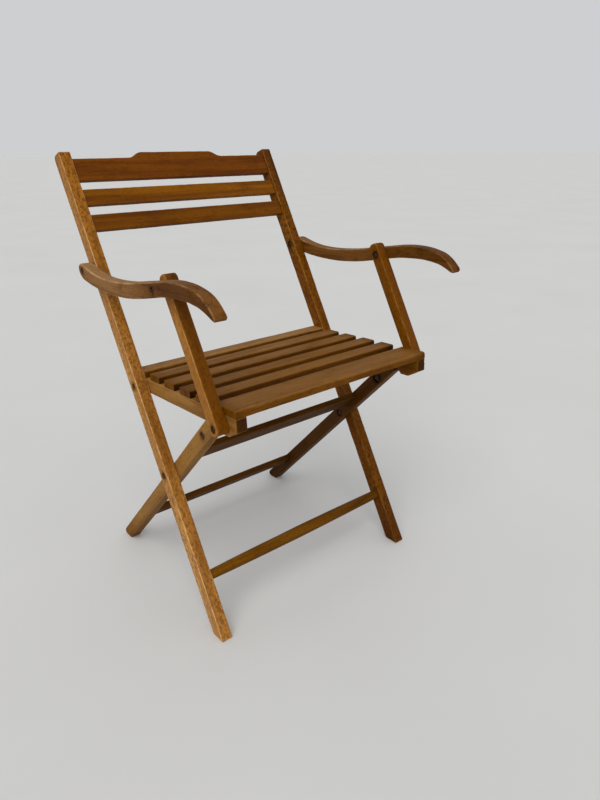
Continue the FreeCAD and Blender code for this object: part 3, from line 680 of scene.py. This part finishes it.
def foot_dark(base, amount, low=0.0, high=0.10):
    """Tone of a piece, darker towards its foot, from a base value."""
    return lambda co, n: base - amount * np.clip((high - co[:, 2]) / (high - low), 0, 1)


def stile_tone(base, sd):
    """Paler low down on the left and darker at the foot on the right, partly painted light from the key on the left;
    darker near the top.
    """
    def f(co, n):
        z = co[:, 2]
        t = base - 0.16 * np.clip((z - 0.50) / 0.35, 0, 1)
        return t + (0.10 if sd < 0 else -0.22) * np.clip((0.35 - z) / 0.35, 0, 1)
    return f


def front_dark(base, amount):
    """Tone of a piece whose end toward the front is dark."""
    return lambda co, n: base - amount * np.clip(-n[:, 1] * 1.6 - 0.6, 0, 1)



def x0_inner(sd, inner, thick):
    return inner if sd > 0 else -(inner + thick)


def x0_outer(sd, outer, thick):
    return outer - thick if sd > 0 else -outer


def pair(sd, outer, inner):
    """Bore at local z1 and at z0, from the bore on the outer side and the bore on the inner side."""
    return (outer, inner) if sd > 0 else (inner, outer)


HEAD, NUT, TOP = (6.5, 4.0), (7.5, 7.0), (11.5, 7.0)
w = 15.0
k = w * math.tan(LEAN)
for i, (nm, sd) in enumerate(SIDES):
    o = rounded([(-w, -k), (w, k), (w, 991.0), (-w, 986.0)], [2.2, 5.0, 9.0, 2.6], step=9.0)
    hs = [(0, 329.0, 3.05, *pair(sd, HEAD, None)), (0, 510.8, 3.05, *pair(sd, HEAD, None)), (0, 751.0, 3.05, *pair(sd, None, NUT))]
    # The outward faces get the paler rubbed colour as a painted sheen.
    slab(nm + "_stile_wood", "back_frame", "stile_wood", nm + "_stile", o, 0, T_STILE,
         place(FOOT[0], FOOT[1], -LEAN, x0_inner(sd, X_STILE, T_STILE)), r=2.2, holes=hs, grain="y",
         tone_and_shading=stile_tone(PIECE_TONE_AND_SHADING[nm + "_stile"], sd), seed=3 + i, wear_and_sheen=lambda co, n, sd=sd: 0.35 * np.clip(n[:, 0] * sd, 0, 1))

# crest rail: raised middle with a small ogee each side
h, rise, Lh, xa, xb = 46.0, 12.0, 233.5, 116.0, 80.0
R = ((xa - xb) ** 2 + rise * rise) / (4.0 * rise)


def ogee(sign):
    th = math.asin((xa - xb) / 2 / R)
    a = [(xa - R * math.sin(th * j / 6), h + R - R * math.cos(th * j / 6)) for j in range(7)]
    b = [(xb + R * math.sin(th * (1 - j / 6)), h + rise - R + R * math.cos(th * (1 - j / 6))) for j in range(1, 7)]
    p = a + b
    return p if sign > 0 else [(-x, y) for x, y in p[::-1]]


top = ogee(1) + [(x, h + rise) for x in np.linspace(xb, -xb, 18)[1:-1]] + ogee(-1)
body_pts, body_flags = rounded([(-Lh, 0), (Lh, 0), (Lh, h), (xa, h), (-xa, h), (-Lh, h)], [0, 0, 0, 0, 0, 0], step=9.0)
# replace the straight run between the two ogee feet by the raised outline
cut = [i for i, p in enumerate(body_pts) if not (abs(p[1] - h) < 1e-6 and abs(p[0]) <= xa + 0.5)]
seq = body_pts[cut]
brk = next(i for i in range(len(seq)) if abs(seq[i][1] - h) < 1e-6 and seq[i][0] > 0 and seq[(i + 1) % len(seq)][0] < 0)
pts_c = np.vstack([seq[:brk + 1], np.array(top), seq[brk + 1:]])
flg_c = np.concatenate([body_flags[cut][:brk + 1], np.zeros(len(top)), body_flags[cut][brk + 1:]])
slab("crest_rail_wood", "back_frame", "crest_wood", "crest_rail", (pts_c, flg_c), 0, 12.0, front_place(927.0),
     r=2.2, grain="x", tone_and_shading=PIECE_TONE_AND_SHADING["crest_rail"], seed=11)
for j, (nm, v) in enumerate((("back_slat_upper", 876.0), ("back_slat_lower", 823.5))):
    o = rounded([(-Lh, 0), (Lh, 0), (Lh, 33.0), (-Lh, 33.0)], 0, step=9.0)
    slab(nm + "_wood", "back_frame", "back_wood", nm, o, 0, 12.0, front_place(v), r=2.2, grain="x", tone_and_shading=PIECE_TONE_AND_SHADING[nm], seed=13 + j)

# front stretcher: a turned rod, a little fuller in the middle
y, z = on_stile(117.0)
B = Builder()
n = 28
st = [-233.5, -233.2, -231.0] + list(np.linspace(-222, 222, 38)) + [231.0, 233.2, 233.5]
ids = []
for s in st:
    rr = 9.7 + 2.5 * (1 - (s / 233.5) ** 2) + 0.05 * math.sin(s / 31.0)
    if abs(s) > 233.4:
        rr -= 0.3
    ids.append(B.add([(rr * math.cos(2 * math.pi * q / n), rr * math.sin(2 * math.pi * q / n), s) for q in range(n)], 0.0))
for a, b in zip(ids, ids[1:]):
    B.bridge(a, b)
for ring, s in ((ids[0], st[0]), (ids[-1], st[-1])):
    c = B.add([(0, 0, s)], 0.0)[0]
    for q in range(n):
        B.f.append((ring[q], ring[(q + 1) % n], c))
finish_piece(B, "front_stretcher_wood", "back_frame", "leg_wood", "front_stretcher", place(y, z, 0.0, 0.0), "z", -0.34, 17, wave=0.25)

# rear legs
w = 14.3
ZC = P_CROSS[1]
foot_at = lambda u: -(ZC + u * sB) / cB


def leg_top(u, drop=0.35):
    nY, nZ = math.sin(TILT), math.cos(TILT)
    d0 = P_SEAT[0] * nY + P_SEAT[1] * nZ - 15.0 - drop
    return (d0 - ((P_CROSS[0] + u * cB) * nY + (ZC + u * sB) * nZ)) / (-sB * nY + cB * nZ)


for i, (nm, sd) in enumerate(SIDES):
    verts = [(-w, foot_at(-w)), (w, foot_at(w)), (w, leg_top(w)), (-w + 9.0, leg_top(-w + 9.0)), (-w, leg_top(-w + 9.0) - 2.0)]
    o = rounded(verts, [2.2, 10.0, 1.2, 2.0, 3.0], step=9.0)
    hs = [(0, 0, 3.08, *pair(sd, None, NUT)), (0, 166.0, 3.05, *pair(sd, HEAD, TOP))]
    slab(nm + "_rear_leg_wood", "rear_legs", "leg_wood", nm + "_rear_leg", o, 0, T_LEG,
         place(P_CROSS[0], P_CROSS[1], RAKE, x0_outer(sd, X_RAIL, T_LEG)), r=2.2, holes=hs, grain="y",
         tone_and_shading=foot_dark(0.12, 0.45) if sd < 0 else foot_dark(-0.64, 0.1), seed=21 + i)
for j, (nm, mid, wr, tr) in enumerate((("upper_leg_stretcher", 53.6, 48.0, 12.7), ("lower_leg_stretcher", -289.5, 32.0, 14.0))):
    u0 = w - tr / 2.0 - 0.4
    o = rounded([(-tr / 2, -wr / 2), (tr / 2, -wr / 2), (tr / 2, wr / 2), (-tr / 2, wr / 2)], 2.2, step=7.0)
    slab(nm + "_wood", "rear_legs", "leg_wood", nm, o, -208.8, 208.8,
         place(P_CROSS[0] + u0 * cB - mid * sB, ZC + u0 * sB + mid * cB, RAKE), r=0.8, grain="z", tone_and_shading=-0.68, seed=25 + j, zstep=10.0)

# seat rails
low, rtop = -15.0, 13.0
c, s = math.cos(TILT), math.sin(TILT)
dy, dz = P_POST[0] - P_SEAT[0], P_POST[1] - P_SEAT[1]
post_uv = (dy * c - dz * s, dy * s + dz * c)
rail = [(12.0, low), (26.0, low + 10.0), (30.0, low + 18.0), (30.0, rtop), (-313.0, rtop), (-313.0, -11.0), (-303.0, -15.5),
        (-287.0, low - 10.0), (-268.0, low - 10.0), (-262.5, low - 5.0), (-260.0, low)]
rail_r = [6.0, 6.0, 6.0, 2.6, 2.6, 2.8, 3.0, 3.5, 3.5, 2.0, 1.5]
for i, (nm, sd) in enumerate(SIDES):
    hs = [(0, 0, 3.08, *pair(sd, None, NUT))]
    slab(nm + "_seat_rail_wood", "seat", "rail_wood", nm + "_seat_rail", rounded(rail, rail_r, step=9.0), 0, T_RAIL,
         place(P_SEAT[0], P_SEAT[1], -TILT, x0_outer(sd, X_RAIL, T_RAIL)), r=2.0, holes=hs, grain="x",
         tone_and_shading=front_dark(0.10, 0.85) if sd < 0 else front_dark(-0.30, 0.45), seed=31 + i)

# seat slats
fronts = [(-5.8, 36.0), (-60.8, 36.0), (-116.8, 36.0), (-172.8, 36.0), (-228.0, 36.0), (-313.0, 63.0)]
for i, (u, wr) in enumerate(fronts):
    r2 = 4.0 if i < 5 else 5.2
    o = rounded([(u, rtop), (u + wr, rtop), (u + wr, rtop + 14.0), (u, rtop + 14.0)], [1.4, 1.2, 3.2, r2], step=5.0, arc=6)
    # The slats' front and back faces are darkened as painted shade in the gaps between them; each slat is also darker
    # towards its ends.
    slab("seat_slat_%d_wood" % (i + 1), "seat", "seat_wood", "seat_slat_%d" % (i + 1), o, -232.8, 232.8,
         place(P_SEAT[0], P_SEAT[1], -TILT), r=1.5, grain="z", tone_and_shading=(lambda co, n, t=(0.22, 0.0, -0.05, -0.12, -0.12, -0.08)[i], i=i: t - 0.30 * np.clip((np.abs(co[:, 0]) - 0.205) / 0.028, 0, 1)
               * (0.45 if t > 0.1 else 1.0) - (0.50 if i < 5 else 0.22) * np.clip(np.abs(n[:, 1]) * 2.0 - 0.8, 0, 1)), seed=41 + 3 * i,
         zstep=9.0, wave=0.3, wear_and_sheen=lambda co, n: np.clip(n[:, 2] * 2.2 - 1.1, 0, 1))

# arm posts
w = 12.0
for i, (nm, sd) in enumerate(SIDES):
    o = rounded([(-w, -13.0), (w, -13.0), (w, 264.0), (-w, 264.0)], 10.0, step=9.0, arc=6)
    hs = [(0, 0, 3.08, *pair(sd, HEAD, None)), (0, POST_SPAN, 3.4, *pair(sd, None, NUT))]
    # The left post's faces toward the key light are painted paler, and both posts' outward faces get the paler rubbed
    # colour as a painted sheen.
    slab(nm + "_arm_post_wood", nm + "_post_body", "stile_wood", nm + "_arm_post", o, 0, T_POST,
         place(P_POST[0], P_POST[1], -LEAN, x0_inner(sd, X_STILE, T_POST)), r=2.2, holes=hs, grain="y",
         tone_and_shading=(lambda co, n: -0.60 + 0.42 * np.clip(-n[:, 0], 0, 1)) if sd < 0 else -0.56, seed=61 + i, mottle=0.55,
         wear_and_sheen=lambda co, n, sd=sd: 0.3 * np.clip(n[:, 0] * sd, 0, 1))

# arms: sawn to an S curve, arrises rounded by hand
arm_ang = math.atan2(P_HAND[1] - P_ARM[1], P_HAND[0] - P_ARM[0]) + math.pi
ARM_SPAN = math.hypot(P_HAND[0] - P_ARM[0], P_HAND[1] - P_ARM[1])
outline = [(3, -16.4), (-8, -11.4), (-14.8, -3.6), (-16, 4), (-12.5, 10.6), (-5, 13.6), (5, 12.4), (20, 8.2),
           (42, 3), (65, -0.6), (85, -2.3), (110, -3), (140, -2.4), (170, -0.4), (200, 2.6), (230, 7), (260, 11.4),
           (285, 15.1), (310, 18.8), (335, 21.6), (357, 22.6), (375, 22.2), (390, 20.9), (403, 18.8), (415, 16.2),
           (427, 12.4), (439, 6), (448, -0.9), (455, -7.7), (459.6, -12.9), (461.2, -16.6), (458.8, -20.4),
           (453.6, -19.4), (446, -15.6), (434, -10.6), (420, -6.5), (405, -4.1), (390, -2.6), (372, -2.1),
           (350, -2.9), (330, -4.2), (308, -6.9), (285, -10.9), (260, -15.4), (230, -20.4), (200, -24.6),
           (168, -27.4), (140, -28.8), (105, -28.5), (70, -26.5), (40, -23.2), (18, -19.6)]
turn = outline.index((461.2, -16.6))
run1 = spline(outline[:turn + 1], 5.0)
run2 = spline(outline[turn:] + outline[:1], 5.0)
arm_pts = np.vstack([run1[:-1], run2[:-1]])
arm_pts = np.c_[-arm_pts[:, 0], arm_pts[:, 1]]
arm_flag = np.zeros(len(arm_pts))
for i, (nm, sd) in enumerate(SIDES):
    hs = [(0, 0, 3.08, *pair(sd, HEAD, None)), (-ARM_SPAN, 0, 3.05, *pair(sd, HEAD, None))]
    slab(nm + "_arm_wood", nm + "_arm_body", "arm_wood", nm + "_arm", (arm_pts, arm_flag), 0, T_ARM,
         place(P_ARM[0], P_ARM[1], arm_ang, x0_inner(sd, X_ARM, T_ARM)), r=2.8, holes=hs, grain="x", chip=0.7,
         tone_and_shading=(lambda co, n: 0.04 - 0.56 * np.clip((0.0 - co[:, 1]) / 0.15, 0, 1) * np.clip(-n[:, 0] * 2, 0.55, 1)) if sd < 0 else
         (lambda co, n: -0.30 - 0.20 * np.clip(-co[:, 1] / 0.2, 0, 1)), seed=71 + i, grid=8.0, zstep=6.0, seg=4,
         wear_and_sheen=lambda co, n: 0.75 * np.clip(n[:, 2] * 2 - 0.6, 0, 1) * np.clip((co[:, 1] + 0.222) / 0.06, 0, 1))


# ------------------------------------------------------------------ hardware
def turned(B, prof, M4, n=24):
    """Profile of (radius, height) turned about local z; the ends on the axis close to a point."""
    rows = []
    for rr, hh in prof:
        if rr < 1e-6:
            rows.append(B.add([(M4 @ np.array([0, 0, hh, 1.0]))[:3]], 0.0))
        else:
            rows.append(B.add([(M4 @ np.array([rr * math.cos(2 * math.pi * q / n), rr * math.sin(2 * math.pi * q / n), hh, 1.0]))[:3]
                               for q in range(n)], 0.0))
    for a, b in zip(rows, rows[1:]):
        if len(a) == 1 and len(b) > 1:
            for q in range(n):
                B.f.append((a[0], b[q], b[(q + 1) % n]))
        elif len(b) == 1 and len(a) > 1:
            for q in range(n):
                B.f.append((a[q], a[(q + 1) % n], b[0]))
        elif len(a) > 1:
            B.bridge(a, b)
    return rows


def bolt(B, sd, x_seat, x_end, pt, angle):
    """Domed screw head with a slot, outboard of |X| = x_seat, and its shank."""
    c, s = math.cos(angle), math.sin(angle)
    # local z points outward, local x and y turned by angle
    M4 = np.array([[0, 0, sd, sd * x_seat], [c, -s, 0, pt[0]], [s, c, 0, pt[1]], [0, 0, 0, 1]], float)
    rim = [(0.0, x_end - x_seat), (2.6, x_end - x_seat), (3.0, x_end - x_seat + 0.5), (3.0, 0.0), (5.3, 0.0), (5.5, 0.35), (5.42, 0.9)]
    rows = turned(B, rim, M4, 32)
    ring = rows[-1]
    R0 = 5.42
    dome = lambda rr: 0.9 + 2.25 * math.sqrt(max(0.0, 1 - (rr / 5.62) ** 2)) - 2.25 * math.sqrt(1 - (R0 / 5.62) ** 2)
    pts = [(R0 * math.cos(2 * math.pi * q / 32), R0 * math.sin(2 * math.pi * q / 32)) for q in range(32)]
    con = [(q, (q + 1) % 32) for q in range(32)]
    half = 0.62
    xs = np.linspace(-5.0, 5.0, 13)
    for yy in (-half - 0.07, -half, half, half + 0.07):
        b0 = len(pts)
        pts += [(x, yy) for x in xs]
        con += [(b0 + q, b0 + q + 1) for q in range(len(xs) - 1)]
    for rr in (1.6, 3.0, 4.2, 5.0):
        m_ = int(6 + rr * 4)
        for q in range(m_):
            a = 2 * math.pi * q / m_
            p = (rr * math.cos(a), rr * math.sin(a))
            if abs(p[1]) > half + 0.4:
                pts.append(p)
    out = delaunay_2d_cdt([Vector(p) for p in pts], con, [], 0, 1e-6)
    vs = np.array([tuple(v) for v in out[0]])
    zz = []
    for x, yv in vs:
        hgt = dome(math.hypot(x, yv))
        if abs(yv) < half + 0.01 and abs(x) < 5.01:
            hgt = min(hgt, 1.35)
        zz.append(hgt)
    P3 = (M4 @ np.c_[vs, zz, np.ones(len(vs))].T).T[:, :3]
    ids = B.add(P3, 0.0)
    for f in out[2]:
        B.f.append(tuple(ids[q] for q in f))


def nut(B, sd, x_out, pt, turn_deg, high=5.0, flats=10.0):
    """Hexagon nut, chamfered, outboard face at |X| = x_out, running inward."""
    M4 = np.array([[0, 0, -sd, sd * x_out], [1, 0, 0, pt[0]], [0, 1, 0, pt[1]], [0, 0, 0, 1]], float)
    n = 48
    ap = flats / 2

    def hexr(a):
        a = (a - math.radians(turn_deg) + math.pi / 6) % (math.pi / 3) - math.pi / 6
        return ap / math.cos(a)

    def ring(f, zz):
        return B.add([(M4 @ np.array([f(2 * math.pi * q / n) * math.cos(2 * math.pi * q / n),
                                      f(2 * math.pi * q / n) * math.sin(2 * math.pi * q / n), zz, 1.0]))[:3] for q in range(n)], 0.0)

    rc = ap * 1.03
    rows = [ring(lambda a: 3.02, 0.0), ring(lambda a: min(rc, hexr(a)), 0.0), ring(lambda a: hexr(a), 0.55),
            ring(lambda a: hexr(a), high - 0.55), ring(lambda a: min(rc, hexr(a)), high), ring(lambda a: 3.5, high), ring(lambda a: 3.02, high - 0.45)]
    for a, b in zip(rows, rows[1:] + rows[:1]):
        B.bridge(a, b)


def washer(B, sd, x_out, pt, outer=20.0, high=1.2):
    M4 = np.array([[0, 0, -sd, sd * x_out], [1, 0, 0, pt[0]], [0, 1, 0, pt[1]], [0, 0, 0, 1]], float)
    ro = outer / 2
    prof = [(3.02, 0.0), (ro - 0.25, 0.0), (ro, 0.25), (ro, high - 0.25), (ro - 0.25, high), (3.2, high), (3.02, high - 0.2)]
    rows = turned(B, prof, M4, 36)
    B.bridge(rows[-1], rows[0])


EYE = np.eye(4)


def metal(name, body, node, build):
    B = Builder()
    build(B)
    return finish_piece(B, name, body, "dark_steel", node, EYE, "y", 0.0, 5, wave=0.0, chip=0.0)


X_OUT_STILE, X_OUT_ARM = X_STILE + T_STILE, X_ARM + T_ARM
X_IN_LEG, X_IN_RAIL = X_RAIL - T_LEG, X_RAIL - T_RAIL
AIR = 0.3
SETS = [("leg_pivot", "back_frame", X_OUT_STILE - 4.0, X_IN_LEG + 7.0 - AIR, P_CROSS, 0.6),
        ("seat_pivot", "back_frame", X_OUT_STILE - 4.0, X_IN_RAIL + 7.0 - AIR, P_SEAT, 1.3),
        ("arm_pivot", "back_frame", X_OUT_ARM - 4.0 + AIR, X_STILE + 7.0, P_ARM, 0.9)]
for nm, body, xs, xn, pt, an in SETS:
    metal(nm + "_screws", body, nm + "_bolts", lambda B: [bolt(B, sd, xs, xn - 6.0, pt, an * (1 if sd > 0 else -1.7)) for _, sd in SIDES])
    metal(nm + "_hex_nuts", body, nm + "_nuts", lambda B: [nut(B, sd, xn, pt, 12 if sd > 0 else 40) for _, sd in SIDES])
metal("post_pivot_round_screws", "seat", "post_pivot_screws",
      lambda B: [bolt(B, sd, X_OUT_STILE - 4.0 + AIR, X_RAIL - 16.0, P_POST, 0.2 * (1 if sd > 0 else -1.7)) for _, sd in SIDES])
for s_, sd in SIDES:
    xs, xn = X_OUT_ARM - 4.0, X_STILE + 7.0 - AIR
    metal(s_ + "_hand_screw", s_ + "_arm_body", s_ + "_hand_bolt", lambda B: bolt(B, sd, xs, xn - 5.9, P_HAND, 0.7 * sd))
    metal(s_ + "_hand_hex_nut", s_ + "_arm_body", s_ + "_hand_nut", lambda B: nut(B, sd, xn, P_HAND, 25))
xs, xn = X_RAIL - 4.0, X_IN_LEG + 7.0
metal("leg_top_screws", "rear_legs", "leg_top_bolts", lambda B: [bolt(B, sd, xs, xn - 1.2 - 5.6, P_TOP, 0.4 * sd) for _, sd in SIDES])
metal("leg_top_rings", "rear_legs", "leg_top_washers", lambda B: [washer(B, sd, xn, P_TOP) for _, sd in SIDES])
metal("leg_top_hex_nuts", "rear_legs", "leg_top_nuts", lambda B: [nut(B, sd, xn - 1.2, P_TOP, 8) for _, sd in SIDES])

# ------------------------------------------------------------------ floor, light, camera
fm, nt = nodes_of("pale_floor_look")
N, L = nt.nodes.new, nt.links.new
tc = N("ShaderNodeTexCoord")
n1 = N("ShaderNodeTexNoise")
n1.inputs["Scale"].default_value = 1.6
n1.inputs["Detail"].default_value = 4
L(tc.outputs["Object"], n1.inputs["Vector"])
cr = N("ShaderNodeValToRGB")
cr.color_ramp.elements[0].color = (0.62, 0.62, 0.61, 1)
cr.color_ramp.elements[1].color = (0.68, 0.68, 0.67, 1)
L(n1.outputs["Fac"], cr.inputs["Fac"])
fb = N("ShaderNodeBsdfPrincipled")
L(cr.outputs["Color"], fb.inputs["Base Color"])
fb.inputs["Roughness"].default_value = 0.75
fb.inputs["Specular IOR Level"].default_value = 0.2
fo = N("ShaderNodeOutputMaterial")
L(fb.outputs[0], fo.inputs["Surface"])
me = bpy.data.meshes.new("studio_floor")
bm = bmesh.new()
rings = []
for rr in (0.0, 1.0, 4.0, 14.0, 60.0):
    rings.append([bm.verts.new((0, 0, 0))] if rr == 0 else [bm.verts.new((rr * math.cos(q * math.pi / 32), rr * math.sin(q * math.pi / 32), 0)) for q in range(64)])
for q in range(64):
    bm.faces.new((rings[0][0], rings[1][q], rings[1][(q + 1) % 64]))
for a, b in zip(rings[1:], rings[2:]):
    for q in range(64):
        bm.faces.new((a[q], b[q], b[(q + 1) % 64], a[(q + 1) % 64]))
bm.to_mesh(me)
bm.free()
me.materials.append(fm)
floor = bpy.data.objects.new("studio_floor", me)
floor.location.z = -0.0004
scene.collection.objects.link(floor)

world = bpy.data.worlds.new("studio_world")
world.use_nodes = True
scene.world = world
bg = world.node_tree.nodes["Background"]
bg.inputs["Color"].default_value = (0.96, 0.975, 1.0, 1)
bg.inputs["Strength"].default_value = 0.64


def sun(name, toward, angle, power, color):
    d = bpy.data.lights.new(name, "SUN")
    d.angle = math.radians(angle)
    d.energy = power
    d.color = color
    o = bpy.data.objects.new(name, d)
    o.rotation_euler = Vector(toward).to_track_quat("-Z", "Y").to_euler()
    scene.collection.objects.link(o)
    return o


sun("key_light", (0.60, 0.46, -0.75), 50.0, 1.5, (1.0, 0.975, 0.93))

cam_pos = Vector((-0.73592, -1.01868, 0.88043))
yaw, pitch, roll = 0.6998904, 0.3919733, -0.0050681
cy, sy, cp, sp = math.cos(yaw), math.sin(yaw), math.cos(pitch), math.sin(pitch)
fwd = Vector((sy * cp, cy * cp, -sp))
right = Vector((cy, -sy, 0))
up = Vector((sy * sp, cy * sp, cp))
r2 = right * math.cos(roll) + up * math.sin(roll)
u2 = up * math.cos(roll) - right * math.sin(roll)
cd = bpy.data.cameras.new("photo_camera")
cd.sensor_fit = "AUTO"
cd.sensor_width = 36.0
cd.lens = 28.0865
cd.clip_start, cd.clip_end = 0.02, 200.0
cam = bpy.data.objects.new("photo_camera", cd)
cam.matrix_world = Matrix(((r2.x, u2.x, -fwd.x, cam_pos.x), (r2.y, u2.y, -fwd.y, cam_pos.y), (r2.z, u2.z, -fwd.z, cam_pos.z), (0, 0, 0, 1)))
scene.collection.objects.link(cam)
scene.camera = cam
scene.view_settings.view_transform = "Standard"
scene.view_settings.look = "None"
